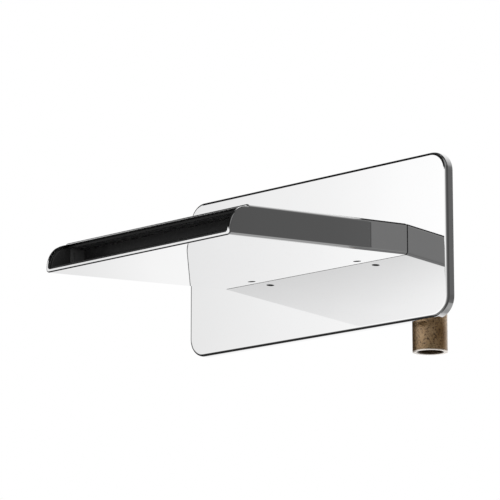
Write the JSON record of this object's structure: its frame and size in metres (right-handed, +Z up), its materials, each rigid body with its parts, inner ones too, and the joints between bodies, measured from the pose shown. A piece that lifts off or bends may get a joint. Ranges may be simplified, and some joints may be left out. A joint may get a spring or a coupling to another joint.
{
  "type": "bath spout",
  "caption": "Wall-mounted waterfall bath spout: flat chrome spout with a wide black mouth, set through a rounded chrome wall plate, fed by a concealed brass body with an inlet socket.",
  "frame": {"origin": "middle of the wall plate on the finished wall's face, which is the back face of the plate's sealing ring", "axes": "+X along the wall plate, to the right as seen from the room; +Y into the wall; +Z up. The spout points to -Y and slopes down"},
  "size_m": [0.27, 0.2278, 0.1415],
  "materials": {
    "chrome": "mirror-polished chrome plating",
    "black_gloss": "glossy black moulding",
    "raw_brass": "dull brass casting with fine pits",
    "turned_brass": "turned brass",
    "dark_steel": "blackened steel",
    "stainless": "plain stainless steel",
    "zinc_steel": "zinc-plated sheet",
    "grey_plastic": "moulded, fine texture",
    "fibre": "red-brown sealing sheet",
    "rubber": "matt black rubber"
  },
  "bodies": {
    "fitting": {"wall_plate": "chrome", "plate_gasket": "rubber", "window_seal": "rubber", "spout_shell": "chrome", "spout_gasket": "rubber", "mouth_liner": "black_gloss", "chamber_housing": "grey_plastic", "chamber_floor": "grey_plastic", "chamber_seal": "rubber", "chamber_screws": "stainless", "flow_baffle": "stainless", "feed_nipples": "turned_brass", "nipple_o_rings": "rubber", "carrier_flange": "turned_brass", "carrier_tongue": "turned_brass", "carrier_gasket": "fibre", "carrier_bolts": "stainless", "inlet_body": "raw_brass", "inlet_elbow": "raw_brass", "gallery_plug": "turned_brass", "plug_washer": "fibre", "inlet_strainer": "stainless", "strainer_clip": "stainless", "wall_bracket": "zinc_steel", "bracket_screws": "stainless"},
    "left_pad": {"clamp_pad_left": "turned_brass"},
    "left_screw": {"grub_screw_left": "dark_steel"},
    "right_pad": {"clamp_pad_right": "turned_brass"},
    "right_screw": {"grub_screw_right": "dark_steel"}
  },
  "joints": [
    {"name": "left_pad_travel", "type": "slide", "parent": "fitting", "child": "left_pad", "axis": [0, 0.0663, -0.9978], "range_m": [0, 0.003]},
    {"name": "left_screw_turn", "type": "hinge", "parent": "left_pad", "child": "left_screw", "pos_m": [-0.0554, -0.01858, -0.00372], "axis": [0, 0.0663, -0.9978], "range_deg": [0, 1080]},
    {"name": "right_pad_travel", "type": "slide", "parent": "fitting", "child": "right_pad", "axis": [0, 0.0663, -0.9978], "range_m": [0, 0.003]},
    {"name": "right_screw_turn", "type": "hinge", "parent": "right_pad", "child": "right_screw", "pos_m": [0.0554, -0.01858, -0.00372], "axis": [0, 0.0663, -0.9978], "range_deg": [0, 1080]}
  ],
  "couplings": [
    {"joint": "left_screw_turn", "follows": "left_pad_travel", "rad_per_m": 6283.2},
    {"joint": "right_screw_turn", "follows": "right_pad_travel", "rad_per_m": 6283.2}
  ]
}
